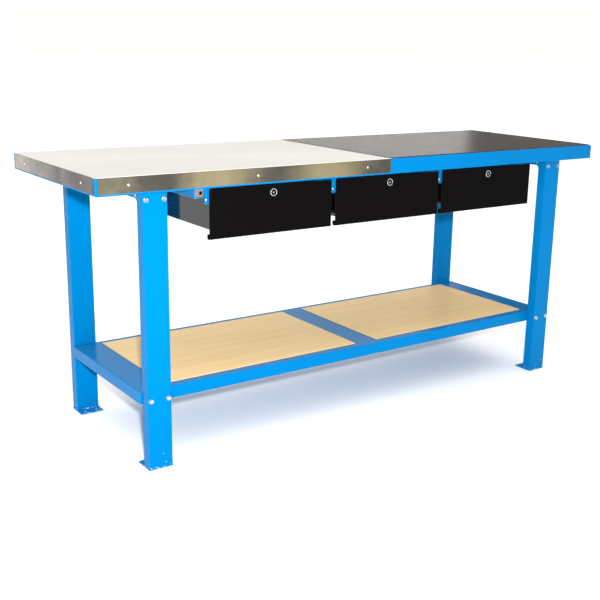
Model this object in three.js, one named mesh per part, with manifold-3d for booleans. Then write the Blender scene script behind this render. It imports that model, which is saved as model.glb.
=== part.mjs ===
// Workbench with three drawers: a sheet-steel worktop on four box-section legs, with a
// shelf tray below and a row of lockable drawers hung under the top.
//
// Frame: millimetres, +X along the bench to the right, +Y to the back, +Z up.
// Origin: on the floor, under the centre of the bench.

import * as THREE from 'three';
import { mergeVertices } from 'three/addons/utils/BufferGeometryUtils.js';
import Module from 'manifold-3d';

const wasm = await Module();
wasm.setup();

// ---------------------------------------------------------------- driving dimensions

const GAP = 0.3; // play left between pieces that touch
const OVER = 1; // how far a cutting tool reaches past the face it cuts
const ROOT = 1; // how far a joined piece reaches into the one that carries it
const HOLE_SIDES = 16;
const SHANK_SIDES = 12;
const HEXAGON_SIDES = 6;
const RIM_SIDES = 32;
const FRONT = -1;
const BACK = 1;
const LEFT = -1;
const RIGHT = 1;

const bench = { length: 2100, depth: 680, height: 924, topThickness: 54 };
const halfLength = bench.length / 2;
const halfDepth = bench.depth / 2;
const topBottom = bench.height - bench.topThickness;

// Left part of the top: a bright steel cover folded down over the edges.
const cover = { sheet: 1.5, rightEdge: 5, skirt: 48, frontNotch: 8, endNotch: 20 };
const coverBottom = bench.height - cover.skirt;

// The blue pan under it, its timber core, and the rubber mat on its right part.
const pan = {
  sheet: 2,
  lip: 20,
  top: bench.height - cover.sheet - GAP,
  left: -halfLength + cover.sheet + GAP,
  halfDepth: halfDepth - cover.sheet - GAP,
};
const mat = { thickness: 3, inset: 8 };

const leg = {
  width: 80,
  depth: 40,
  wall: 2.5,
  centreX: 858,
  outerY: 312,
  top: topBottom - 4, // stops just under the pan's lip
  boltSpread: 58,
  topBoltZ: 847,
  shelfBoltZ: 228,
};
leg.innerY = leg.outerY - leg.depth;

const foot = { thickness: 4, overhang: 1, reach: 80, holeRadius: 5.5, holeSpread: 44, holeInset: 18 };
const ear = { reach: 14, bottom: 840, chamferTop: 851 };
const beam = { width: leg.width - 2 * leg.wall - 2 * GAP, bottom: 846, tabBottom: 836, sheet: 2.5 };
const bolt = { radius: 4, clearRadius: 4.3, flangeRadius: 8.3, flange: 1.6, hexRadius: 7, head: 5.5 };
bolt.tail = 8;

const shelf = { halfLength: 904, top: 248, height: 40, sheet: 2 };
shelf.halfDepth = leg.innerY - GAP;
const board = { thickness: 3, innerX: 48, outerX: 808, halfDepth: 240 };

const drawers = { count: 3, pitch: 469 };
const panel = { width: 452, top: 867.5, height: 153, sheet: 1.5, lip: 15 };
panel.bottom = panel.top - panel.height;
panel.back = -halfDepth + panel.sheet;

const shell = {
  halfWidth: 218,
  sheet: 1.5,
  bottom: 743,
  top: 841.5,
  front: -336,
  back: 95,
  topFlange: 18,
  bottomFlange: 8,
  lug: 14,
  lugBottom: 824,
};
const box = { halfWidth: 205, sheet: 1.5, bottom: 747, top: 832, back: 90 };
box.front = panel.back + GAP;

const slide = { bottom: 772, height: 35, sheet: 1.2, front: -325, length: 400 };
slide.outerDepth = 6.7;
slide.innerHeight = 27;
slide.innerReach = 7;

const hanger = { width: 37, bottom: 842, sheet: 2, front: -330, back: 100 };
const tab = { width: 16.2, bottom: 822, cornerRadius: 6 };

const lock = {
  centreZ: 844,
  flangeRadius: 13,
  flange: 5,
  barrelRadius: 9,
  holeRadius: 9.3,
  boreRadius: 6.7,
  plugRadius: 6.4,
  barrelBack: -320,
  camThickness: 2.5,
  camLength: 24,
  camHalfWidth: 6,
  plugProud: 0.7,
  keySlotHalfWidth: 0.8,
  keySlotHalfHeight: 3.8,
  keySlotDepth: 4,
};

// ---------------------------------------------------------------- materials

function finish(color, roughness, metalness) {
  return new THREE.MeshStandardMaterial({ color, roughness, metalness });
}

const materials = {
  blueSteel: finish(0x0a93e0, 0.3, 0.1),
  brightSteel: finish(0xc9c5b8, 0.35, 1.0),
  blackSteel: finish(0x16141a, 0.35, 0.1),
  rubber: finish(0x2c2b29, 0.6, 0.0),
  timber: finish(0xe5c88f, 0.6, 0.0),
  zinc: finish(0xc8cbce, 0.35, 1.0),
  chrome: finish(0xdcdcdc, 0.12, 1.0),
};

// ---------------------------------------------------------------- solids

// A closed three.js geometry as a solid that can be joined and cut.
function solidFrom(geometry) {
  const bare = geometry.clone();
  bare.deleteAttribute('normal');
  bare.deleteAttribute('uv');
  const merged = mergeVertices(bare, 1e-4);
  const vertProperties = new Float32Array(merged.attributes.position.array);
  const triVerts = new Uint32Array(merged.index.array);
  return new wasm.Manifold(new wasm.Mesh({ numProp: 3, vertProperties, triVerts }));
}

function geometryFrom(solid) {
  const { vertProperties, triVerts } = solid.getMesh();
  const indexed = new THREE.BufferGeometry();
  indexed.setAttribute('position', new THREE.BufferAttribute(vertProperties, 3));
  indexed.setIndex(new THREE.BufferAttribute(triVerts, 1));
  const flat = indexed.toNonIndexed();
  flat.computeVertexNormals();
  return flat;
}

// A block between two values on each axis, given in either order.
function block([x0, x1], [y0, y1], [z0, z1]) {
  const geometry = new THREE.BoxGeometry(Math.abs(x1 - x0), Math.abs(y1 - y0), Math.abs(z1 - z0));
  geometry.translate((x0 + x1) / 2, (y0 + y1) / 2, (z0 + z1) / 2);
  return solidFrom(geometry);
}

// A round bar lying along Y, from y0 to y1.
function barAlongY(radius, x, z, y0, y1, sides = 24) {
  const geometry = new THREE.CylinderGeometry(radius, radius, Math.abs(y1 - y0), sides);
  geometry.translate(x, (y0 + y1) / 2, z);
  return solidFrom(geometry);
}

function barAlongZ(radius, x, y, z0, z1, sides = 20) {
  const geometry = new THREE.CylinderGeometry(radius, radius, Math.abs(z1 - z0), sides);
  geometry.rotateX(Math.PI / 2);
  geometry.translate(x, y, (z0 + z1) / 2);
  return solidFrom(geometry);
}

// An outline of (y, z) points, extruded along X.
function prismAlongX(points, x0, x1) {
  const outline = new THREE.Shape(points.map(([y, z]) => new THREE.Vector2(y, z)));
  const geometry = new THREE.ExtrudeGeometry(outline, { depth: Math.abs(x1 - x0), bevelEnabled: false });
  const yIsU = new THREE.Vector3(0, 1, 0);
  const zIsV = new THREE.Vector3(0, 0, 1);
  const xIsDepth = new THREE.Vector3(1, 0, 0);
  geometry.applyMatrix4(new THREE.Matrix4().makeBasis(yIsU, zIsV, xIsDepth));
  geometry.translate(Math.min(x0, x1), 0, 0);
  return solidFrom(geometry);
}

// An outline of (x, z) points or a ready shape, extruded along Y.
function prismAlongY(points, y0, y1) {
  const isShape = points instanceof THREE.Shape;
  const outline = isShape ? points : new THREE.Shape(points.map(([x, z]) => new THREE.Vector2(x, z)));
  const options = { depth: Math.abs(y1 - y0), bevelEnabled: false, curveSegments: 6 };
  const geometry = new THREE.ExtrudeGeometry(outline, options);
  geometry.rotateX(Math.PI / 2);
  geometry.translate(0, Math.max(y0, y1), 0);
  return solidFrom(geometry);
}

function join(first, ...rest) {
  return rest.reduce((whole, solid) => whole.add(solid), first);
}

function cut(first, ...tools) {
  return tools.reduce((whole, tool) => whole.subtract(tool), first);
}

// ---------------------------------------------------------------- worktop

function topFrame() {
  const { sheet, lip, top, left, halfDepth: y } = pan;
  const right = halfLength;
  const outside = block([left, right], [-y, y], [topBottom, top]);
  const inside = block(
    [left + sheet, right - sheet],
    [-y + sheet, y - sheet],
    [topBottom + sheet, top - sheet],
  );
  const mouth = block(
    [left + lip, right - lip],
    [-y + lip, y - lip],
    [topBottom - OVER, topBottom + sheet + OVER],
  );
  return cut(outside, inside, mouth);
}

function coreBoard() {
  const play = pan.sheet + GAP;
  return block(
    [pan.left + play, halfLength - play],
    [-pan.halfDepth + play, pan.halfDepth - play],
    [topBottom + play, pan.top - play],
  );
}

// The cover's skirts stop short of the corners, where the blue pan shows.
function steelCover() {
  const { sheet, rightEdge, frontNotch, endNotch } = cover;
  const underSheet = bench.height - sheet;
  const innerY = halfDepth - sheet;
  const innerLeft = -halfLength + sheet;
  const skin = cut(
    block([-halfLength, rightEdge], [-halfDepth, halfDepth], [coverBottom, bench.height]),
    block([innerLeft, rightEdge + OVER], [-innerY, innerY], [coverBottom - OVER, underSheet]),
  );
  const notches = [FRONT, BACK].flatMap((side) => [
    block(
      [-halfLength - OVER, -halfLength + frontNotch],
      [side * (innerY - OVER), side * (halfDepth + OVER)],
      [coverBottom - OVER, underSheet],
    ),
    block(
      [-halfLength - OVER, innerLeft + OVER],
      [side * (halfDepth - endNotch), side * (halfDepth + OVER)],
      [coverBottom - OVER, underSheet],
    ),
  ]);
  return cut(skin, ...notches);
}

function rubberMat() {
  const y = pan.halfDepth - mat.inset;
  const bottom = pan.top + GAP;
  return block([cover.rightEdge + GAP, halfLength - mat.inset], [-y, y], [bottom, bottom + mat.thickness]);
}

// ---------------------------------------------------------------- legs and crossbeams

function boltColumns(centreX) {
  return [centreX - leg.boltSpread / 2, centreX + leg.boltSpread / 2];
}

// One box-section leg with its foot plate, the two ears that hold the crossbeam's end,
// and bolt holes through both walls.
function legSolid(side, end) {
  const x = side * leg.centreX;
  const halfWidth = leg.width / 2;
  const outerY = end * leg.outerY;
  const innerY = end * leg.innerY;
  const tube = block([x - halfWidth, x + halfWidth], [outerY, innerY], [foot.thickness / 2, leg.top]);
  const hollow = block(
    [x - halfWidth + leg.wall, x + halfWidth - leg.wall],
    [outerY - end * leg.wall, innerY + end * leg.wall],
    [foot.thickness, leg.top + OVER],
  );
  const plate = block(
    [x - halfWidth - foot.overhang, x + halfWidth + foot.overhang],
    [outerY + end * foot.overhang, outerY - end * foot.reach],
    [0, foot.thickness],
  );
  const ears = [LEFT, RIGHT].map((earSide) => {
    const outerX = x + earSide * halfWidth;
    const rootY = innerY + end * ROOT;
    const tipY = innerY - end * ear.reach;
    const outline = [
      [rootY, ear.bottom],
      [innerY, ear.bottom],
      [tipY, ear.chamferTop],
      [tipY, leg.top],
      [rootY, leg.top],
    ];
    return prismAlongX(outline, outerX, outerX - earSide * leg.wall);
  });
  const boltHoles = boltColumns(x).flatMap((boltX) =>
    [leg.topBoltZ, leg.shelfBoltZ].map((boltZ) =>
      barAlongY(bolt.clearRadius, boltX, boltZ, outerY + end * OVER, innerY - end * OVER, HOLE_SIDES),
    ),
  );
  const anchorY = outerY - end * (foot.reach - foot.holeInset);
  const anchorHoles = [-foot.holeSpread / 2, foot.holeSpread / 2].map((offset) =>
    barAlongZ(foot.holeRadius, x + offset, anchorY, -OVER, foot.thickness + OVER),
  );
  return cut(join(cut(tube, hollow), plate, ...ears), ...boltHoles, ...anchorHoles);
}

// A downward-open channel between the two legs of one side, with an end tab for the bolts.
function crossbeam(side) {
  const x = side * leg.centreX;
  const halfWidth = beam.width / 2;
  const halfSpan = leg.innerY - GAP;
  const top = topBottom - GAP;
  const channel = cut(
    block([x - halfWidth, x + halfWidth], [-halfSpan, halfSpan], [beam.bottom, top]),
    block(
      [x - halfWidth + beam.sheet, x + halfWidth - beam.sheet],
      [-halfSpan - OVER, halfSpan + OVER],
      [beam.bottom - OVER, top - beam.sheet],
    ),
  );
  const tabs = [FRONT, BACK].map((end) =>
    block(
      [x - halfWidth, x + halfWidth],
      [end * halfSpan, end * (halfSpan - beam.sheet)],
      [beam.tabBottom, top - ROOT],
    ),
  );
  const holes = boltColumns(x).map((boltX) =>
    barAlongY(bolt.clearRadius, boltX, leg.topBoltZ, -halfSpan - OVER, halfSpan + OVER, HOLE_SIDES),
  );
  return cut(join(channel, ...tabs), ...holes);
}

// A flanged hexagon bolt through a leg, head outside.
function legBolt(x, z, end) {
  const seat = end * (leg.outerY + GAP);
  const tip = end * (leg.innerY - bolt.tail);
  const flangeTop = seat + end * bolt.flange;
  return join(
    barAlongY(bolt.radius, x, z, tip, seat + end * ROOT, SHANK_SIDES),
    barAlongY(bolt.flangeRadius, x, z, seat, flangeTop),
    barAlongY(bolt.hexRadius, x, z, seat + end * ROOT, seat + end * bolt.head, HEXAGON_SIDES),
  );
}

// ---------------------------------------------------------------- lower shelf

// A tray folded down on four sides and open below.
function shelfTray() {
  const { halfLength: x, halfDepth: y, top, height, sheet } = shelf;
  const bottom = top - height;
  const folded = cut(
    block([-x, x], [-y, y], [bottom, top]),
    block([-x + sheet, x - sheet], [-y + sheet, y - sheet], [bottom - OVER, top - sheet]),
  );
  const holes = [LEFT, RIGHT].flatMap((side) =>
    boltColumns(side * leg.centreX).map((boltX) =>
      barAlongY(bolt.clearRadius, boltX, leg.shelfBoltZ, -y - OVER, y + OVER, HOLE_SIDES),
    ),
  );
  return cut(folded, ...holes);
}

function shelfBoard(side) {
  const bottom = shelf.top + GAP;
  return block(
    [side * board.innerX, side * board.outerX],
    [-board.halfDepth, board.halfDepth],
    [bottom, bottom + board.thickness],
  );
}

// ---------------------------------------------------------------- drawer hangers

// An upward-open channel under the top, to the left of each drawer's left side. All but the
// last have a front tab with rounded lower corners, which carries the drawer shell's lug.
function runnerHanger(rightX, hasTab) {
  const { width, bottom, sheet, front, back } = hanger;
  const top = topBottom - GAP;
  const left = rightX - width;
  const channel = cut(
    block([left, rightX], [front, back], [bottom, top]),
    block(
      [left + sheet, rightX - sheet],
      [front - OVER, back + OVER],
      [bottom + sheet, top + OVER],
    ),
  );
  if (!hasTab) {
    return channel;
  }
  const tabLeft = rightX - sheet;
  const tabRight = rightX + tab.width;
  const r = tab.cornerRadius;
  const outline = new THREE.Shape();
  outline.moveTo(tabLeft, top);
  outline.lineTo(tabLeft, tab.bottom + r);
  outline.absarc(tabLeft + r, tab.bottom + r, r, Math.PI, 1.5 * Math.PI);
  outline.lineTo(tabRight - r, tab.bottom);
  outline.absarc(tabRight - r, tab.bottom + r, r, 1.5 * Math.PI, 2 * Math.PI);
  outline.lineTo(tabRight, top);
  return join(channel, prismAlongY(outline, front, front + sheet));
}

// ---------------------------------------------------------------- drawers

// The fixed steel shell that one drawer runs in: two sides, a back, flanges turned in, and
// a lug at the left that is bolted behind the hanger's tab.
function drawerShell(x) {
  const { halfWidth, sheet, bottom, top, front, back, topFlange, bottomFlange } = shell;
  const sides = [LEFT, RIGHT].flatMap((side) => {
    const outer = x + side * halfWidth;
    return [
      block([outer, outer - side * sheet], [front, back], [bottom, top]),
      block([outer, outer - side * topFlange], [front, back], [top - sheet, top]),
      block([outer, outer - side * bottomFlange], [front, back], [bottom, bottom + sheet]),
    ];
  });
  const rear = block([x - halfWidth, x + halfWidth], [back - sheet, back], [bottom, top]);
  const lugFront = hanger.front + hanger.sheet + GAP;
  const lug = block(
    [x - halfWidth - shell.lug, x - halfWidth + sheet / 2],
    [lugFront, lugFront + sheet],
    [shell.lugBottom, top],
  );
  return join(...sides, rear, lug);
}

function drawerBox(x) {
  const { halfWidth, sheet, bottom, top, front, back } = box;
  return cut(
    block([x - halfWidth, x + halfWidth], [front, back], [bottom, top]),
    block(
      [x - halfWidth + sheet, x + halfWidth - sheet],
      [front + sheet, back - sheet],
      [bottom + sheet, top + OVER],
    ),
  );
}

// A flat front whose lower edge is folded back and up into a pull lip.
function drawerFront(x) {
  const half = panel.width / 2;
  const face = -halfDepth;
  const { bottom, top, sheet, lip } = panel;
  const outline = [
    [face, top],
    [face, bottom],
    [face + lip, bottom],
    [face + lip, bottom + lip],
    [face + lip - sheet, bottom + lip],
    [face + lip - sheet, bottom + sheet],
    [face + sheet, bottom + sheet],
    [face + sheet, top],
  ];
  const lockHole = barAlongY(lock.holeRadius, x, lock.centreZ, face - OVER, panel.back + OVER);
  return cut(prismAlongX(outline, x - half, x + half), lockHole);
}

// Fixed half of a drawer slide: a channel on the shell's side, open towards the drawer.
function outerSlide(x, side) {
  const { bottom, height, sheet, front, length, outerDepth } = slide;
  const back = x + side * (shell.halfWidth - shell.sheet - GAP);
  const mouth = back - side * outerDepth;
  const outline = [
    [back, bottom],
    [mouth, bottom],
    [mouth, bottom + sheet],
    [back - side * sheet, bottom + sheet],
    [back - side * sheet, bottom + height - sheet],
    [mouth, bottom + height - sheet],
    [mouth, bottom + height],
    [back, bottom + height],
  ];
  return prismAlongY(outline, front, front + length);
}

// Moving half: a narrower channel on the drawer's side that runs inside the fixed one.
function innerSlide(x, side) {
  const { height, sheet, front, length, innerHeight, innerReach } = slide;
  const bottom = slide.bottom + (height - innerHeight) / 2;
  const back = x + side * (box.halfWidth + GAP);
  const mouth = back + side * (sheet + innerReach);
  const outline = [
    [back, bottom],
    [mouth, bottom],
    [mouth, bottom + sheet],
    [back + side * sheet, bottom + sheet],
    [back + side * sheet, bottom + innerHeight - sheet],
    [mouth, bottom + innerHeight - sheet],
    [mouth, bottom + innerHeight],
    [back, bottom + innerHeight],
  ];
  return prismAlongY(outline, front, front + length);
}

// ---------------------------------------------------------------- locks

// Round flange on the drawer front and the barrel behind it, bored for the plug.
function lockHousing(x) {
  const seat = -halfDepth - GAP;
  const face = seat - lock.flange;
  const z = lock.centreZ;
  const flange = barAlongY(lock.flangeRadius, x, z, face, seat, RIM_SIDES);
  const barrel = barAlongY(lock.barrelRadius, x, z, seat - ROOT, lock.barrelBack);
  const bore = barAlongY(lock.boreRadius, x, z, face - OVER, lock.barrelBack + OVER);
  return cut(join(flange, barrel), bore);
}

// Turning plug with a key slot in its face and a cam on its back end. The cam lies
// level when the drawer is free and points up when it is locked.
function lockPlug(x) {
  const face = -halfDepth - GAP - lock.flange - lock.plugProud;
  const camFront = lock.barrelBack + GAP;
  const camBack = camFront + lock.camThickness;
  const z = lock.centreZ;
  const w = lock.camHalfWidth;
  const plug = barAlongY(lock.plugRadius, x, z, face, camBack);
  const cam = block([x - w, x + lock.camLength], [camFront, camBack], [z - w, z + w]);
  const keySlot = block(
    [x - lock.keySlotHalfWidth, x + lock.keySlotHalfWidth],
    [face - OVER, face + lock.keySlotDepth],
    [z - lock.keySlotHalfHeight, z + lock.keySlotHalfHeight],
  );
  return cut(join(plug, cam), keySlot);
}

// ---------------------------------------------------------------- assembly

const workbench = new THREE.Group();

function place(name, solid, material) {
  const mesh = new THREE.Mesh(geometryFrom(solid), material);
  mesh.name = name;
  workbench.add(mesh);
}

function sideName(side) {
  return side === LEFT ? 'left' : 'right';
}

function endName(end) {
  return end === FRONT ? 'front' : 'rear';
}

function placeWorktop() {
  place('top_frame', topFrame(), materials.blueSteel);
  place('core_board', coreBoard(), materials.timber);
  place('steel_cover', steelCover(), materials.brightSteel);
  place('rubber_mat', rubberMat(), materials.rubber);
}

function placeLegs() {
  for (const side of [LEFT, RIGHT]) {
    place(`crossbeam_${sideName(side)}`, crossbeam(side), materials.blueSteel);
    for (const end of [FRONT, BACK]) {
      const corner = `${endName(end)}_${sideName(side)}`;
      place(`leg_${corner}`, legSolid(side, end), materials.blueSteel);
      boltColumns(side * leg.centreX).forEach((x, column) => {
        place(`top_bolt_${corner}_${column + 1}`, legBolt(x, leg.topBoltZ, end), materials.zinc);
        place(`shelf_bolt_${corner}_${column + 1}`, legBolt(x, leg.shelfBoltZ, end), materials.zinc);
      });
    }
  }
}

function placeShelf() {
  place('shelf_tray', shelfTray(), materials.blueSteel);
  for (const side of [LEFT, RIGHT]) {
    place(`shelf_board_${sideName(side)}`, shelfBoard(side), materials.timber);
  }
}

function placeHangers() {
  const firstX = -drawers.pitch * (drawers.count / 2);
  for (let i = 0; i <= drawers.count; i += 1) {
    const isLast = i === drawers.count;
    place(`runner_hanger_${i + 1}`, runnerHanger(firstX + i * drawers.pitch, !isLast), materials.blueSteel);
  }
}

function placeDrawer(number) {
  const x = (number - (drawers.count + 1) / 2) * drawers.pitch;
  place(`drawer_shell_${number}`, drawerShell(x), materials.blackSteel);
  place(`drawer_box_${number}`, drawerBox(x), materials.blackSteel);
  place(`drawer_front_${number}`, drawerFront(x), materials.blackSteel);
  for (const side of [LEFT, RIGHT]) {
    place(`outer_slide_${number}_${sideName(side)}`, outerSlide(x, side), materials.zinc);
    place(`inner_slide_${number}_${sideName(side)}`, innerSlide(x, side), materials.zinc);
  }
  place(`lock_housing_${number}`, lockHousing(x), materials.chrome);
  place(`lock_plug_${number}`, lockPlug(x), materials.chrome);
}

placeWorktop();
placeLegs();
placeShelf();
placeHangers();
for (let number = 1; number <= drawers.count; number += 1) {
  placeDrawer(number);
}

export default workbench;
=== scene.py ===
"""Looks for the workbench with drawers: detailed pieces, materials, studio and camera.

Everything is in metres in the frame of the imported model: +X along the bench to the right,
+Y to the back, +Z up, origin on the floor under the middle of the bench.
"""

import math

import bmesh
import bpy
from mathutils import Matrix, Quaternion, Vector


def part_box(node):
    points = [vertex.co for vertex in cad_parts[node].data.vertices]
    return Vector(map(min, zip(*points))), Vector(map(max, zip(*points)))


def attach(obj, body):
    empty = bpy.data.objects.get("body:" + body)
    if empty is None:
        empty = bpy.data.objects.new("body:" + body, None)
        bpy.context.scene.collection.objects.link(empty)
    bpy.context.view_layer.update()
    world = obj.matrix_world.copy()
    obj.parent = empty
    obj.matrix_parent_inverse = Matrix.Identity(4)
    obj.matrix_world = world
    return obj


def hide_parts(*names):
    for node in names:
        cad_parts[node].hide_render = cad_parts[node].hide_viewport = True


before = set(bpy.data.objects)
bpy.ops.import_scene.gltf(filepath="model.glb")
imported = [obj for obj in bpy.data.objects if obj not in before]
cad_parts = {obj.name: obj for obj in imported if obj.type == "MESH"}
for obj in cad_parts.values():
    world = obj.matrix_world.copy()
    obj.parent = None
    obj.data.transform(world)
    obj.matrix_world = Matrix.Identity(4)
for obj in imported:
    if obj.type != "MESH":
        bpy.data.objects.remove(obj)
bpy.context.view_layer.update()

MM = 0.001
SCENE = bpy.context.scene
DRAWERS = (1, 2, 3)
HANGERS = (1, 2, 3, 4)
SIDES = ("left", "right")
CORNERS = [f"{end}_{side}" for side in SIDES for end in ("front", "rear")]

# Thickness of the sheet that each part is folded from.
SHEET_PAN = 2.0 * MM
SHEET_COVER = 1.5 * MM
SHEET_DRAWER = 1.5 * MM
SHEET_LEG = 2.5 * MM

# Radius of the folds in thick and in thin sheet.
FOLD = 3.0 * MM
THIN_FOLD = 2.5 * MM

# Faces round each fold of a strip and of the cover.
FOLD_STEPS = 5

# Softening of cut edges on sheet and on thicker plates.
SHEET_EDGE = 0.3 * MM
PLATE_EDGE = 0.4 * MM

# The side of a surface that its thickness is added on: along its normals, or against them.
GROW_OUT = 1
GROW_IN = -1


# ---------------------------------------------------------------- node helpers


def add_node(tree, kind, inputs=None, **settings):
    """Adds a node, sets its properties, and fills or links its inputs."""
    made = tree.nodes.new(kind)
    for key, value in settings.items():
        setattr(made, key, value)
    for key, value in (inputs or {}).items():
        if isinstance(value, bpy.types.NodeSocket):
            tree.links.new(value, made.inputs[key])
        else:
            made.inputs[key].default_value = value
    return made


def new_material(name, **constants):
    """A material with its Principled shader; constants go straight on the shader's sockets."""
    material = bpy.data.materials.new(name)
    material.use_nodes = True
    tree = material.node_tree
    shader = tree.nodes["Principled BSDF"]
    for key, value in constants.items():
        shader.inputs[key.replace("_", " ")].default_value = value
    return material, tree, shader


def object_coords(tree, scale=(1, 1, 1)):
    """Places in metres, which the scale squeezes or stretches along each axis."""
    coords = add_node(tree, "ShaderNodeTexCoord").outputs["Object"]
    return add_node(tree, "ShaderNodeMapping", {"Vector": coords, "Scale": scale}).outputs["Vector"]


def noise(tree, coords, scale, detail=3.0, roughness=0.5):
    inputs = {"Vector": coords, "Scale": scale, "Detail": detail, "Roughness": roughness}
    return add_node(tree, "ShaderNodeTexNoise", inputs).outputs["Fac"]


def remap(tree, value, low, high, to_low, to_high, kind="LINEAR"):
    """The value moved from the range low to high into the range to_low to to_high."""
    inputs = {
        "Value": value,
        "From Min": low,
        "From Max": high,
        "To Min": to_low,
        "To Max": to_high,
    }
    return add_node(tree, "ShaderNodeMapRange", inputs, interpolation_type=kind).outputs["Result"]


def math_node(tree, operation, a, b):
    return add_node(tree, "ShaderNodeMath", {0: a, 1: b}, operation=operation).outputs["Value"]


def mix_colour(tree, factor, first, second):
    made = add_node(tree, "ShaderNodeMix", {0: factor, 6: first, 7: second}, data_type="RGBA")
    return made.outputs[2]


def mix_value(tree, factor, first, second):
    made = add_node(tree, "ShaderNodeMix", {0: factor, 2: first, 3: second}, data_type="FLOAT")
    return made.outputs[0]


def bump(tree, height, distance, strength, normal=None):
    inputs = {"Height": height, "Distance": distance, "Strength": strength}
    if normal is not None:
        inputs["Normal"] = normal
    return add_node(tree, "ShaderNodeBump", inputs).outputs["Normal"]


def edge_mask(tree, radius):
    """1 on edges and corners within the radius, 0 on flat ground."""
    rounded = add_node(tree, "ShaderNodeBevel", {"Radius": radius}, samples=4).outputs["Normal"]
    flat = add_node(tree, "ShaderNodeNewGeometry").outputs["Normal"]
    product = add_node(tree, "ShaderNodeVectorMath", {0: rounded, 1: flat}, operation="DOT_PRODUCT")
    return remap(tree, product.outputs["Value"], 0.98, 0.80, 0.0, 1.0)


# ---------------------------------------------------------------- materials


def blue_powder_coat():
    """Blue powder coat with a fine speckle, dust on top and chips near the floor."""
    material, tree, shader = new_material(
        "blue_powder_coat", IOR=1.48, Specular_Tint=(0.0, 0.5, 1.0, 1), Specular_IOR_Level=0.08
    )
    coords = object_coords(tree)
    height = add_node(tree, "ShaderNodeSeparateXYZ", {0: coords}).outputs["Z"]
    facing = add_node(tree, "ShaderNodeNewGeometry").outputs["Normal"]
    facing_up = add_node(tree, "ShaderNodeSeparateXYZ", {0: facing}).outputs["Z"]
    tone = remap(tree, noise(tree, coords, 2.0), 0.35, 0.65, 0.0, 1.0)
    paint = mix_colour(tree, tone, (0.0, 0.142, 0.375, 1), (0.0, 0.155, 0.400, 1))
    speckle = remap(tree, noise(tree, coords, 900.0, 2.0), 0.40, 0.70, 0.0, 0.25)
    paint = mix_colour(tree, speckle, paint, (0.0, 0.105, 0.31, 1))
    # Fine pale dust lies on the faces that look up.
    settled = remap(tree, noise(tree, coords, 260.0, 5.0, 0.7), 0.52, 0.72, 0.0, 0.30)
    settled = math_node(tree, "MULTIPLY", settled, remap(tree, facing_up, 0.7, 0.9, 0.0, 1.0))
    paint = mix_colour(tree, settled, paint, (0.30, 0.42, 0.50, 1))
    # Knocks show pale primer: mostly on edges near the floor, hardly any higher up.
    edge_limit = remap(tree, height, 0.0, 0.12, 0.545, 0.70)
    knock = noise(tree, coords, 120.0, 3.0)
    chip = math_node(tree, "GREATER_THAN", knock, edge_limit)
    chip = math_node(tree, "MULTIPLY", chip, edge_mask(tree, 3.5 * MM))
    face_limit = remap(tree, height, 0.0, 0.16, 0.70, 0.82)
    chip = math_node(tree, "MAXIMUM", chip, math_node(tree, "GREATER_THAN", knock, face_limit))
    tree.links.new(mix_colour(tree, chip, paint, (0.55, 0.66, 0.74, 1)), shader.inputs["Base Color"])
    gloss = remap(tree, noise(tree, coords, 14.0, 4.0), 0.3, 0.7, 0.15, 0.25)
    tree.links.new(gloss, shader.inputs["Roughness"])
    peel = bump(tree, noise(tree, coords, 420.0, 1.0), 0.05 * MM, 0.35)
    waves = bump(tree, noise(tree, coords, 7.0, 1.0), 0.4 * MM, 0.2, peel)
    tree.links.new(waves, shader.inputs["Normal"])
    return material


def bright_steel():
    """The polished upper face of the sheet-steel cover."""
    material, tree, shader = new_material("bright_steel", Metallic=1.0, Anisotropic=0.35)
    coords = object_coords(tree)
    along = object_coords(tree, (2.0, 60.0, 60.0))
    cloud = remap(tree, noise(tree, coords, 1.6, 2.0), 0.3, 0.7, 0.0, 1.0)
    base = mix_colour(tree, cloud, (0.745, 0.712, 0.665, 1), (0.775, 0.747, 0.704, 1))
    tree.links.new(base, shader.inputs["Base Color"])
    brushed = noise(tree, along, 14.0, 5.0, 0.6)
    fine = remap(tree, brushed, 0.3, 0.7, 0.22, 0.32)
    tree.links.new(fine, shader.inputs["Roughness"])
    grain = bump(tree, brushed, 0.01 * MM, 0.2)
    canning = bump(tree, noise(tree, coords, 2.0, 0.0), 0.8 * MM, 0.1, grain)
    tree.links.new(canning, shader.inputs["Normal"])
    return material


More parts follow.
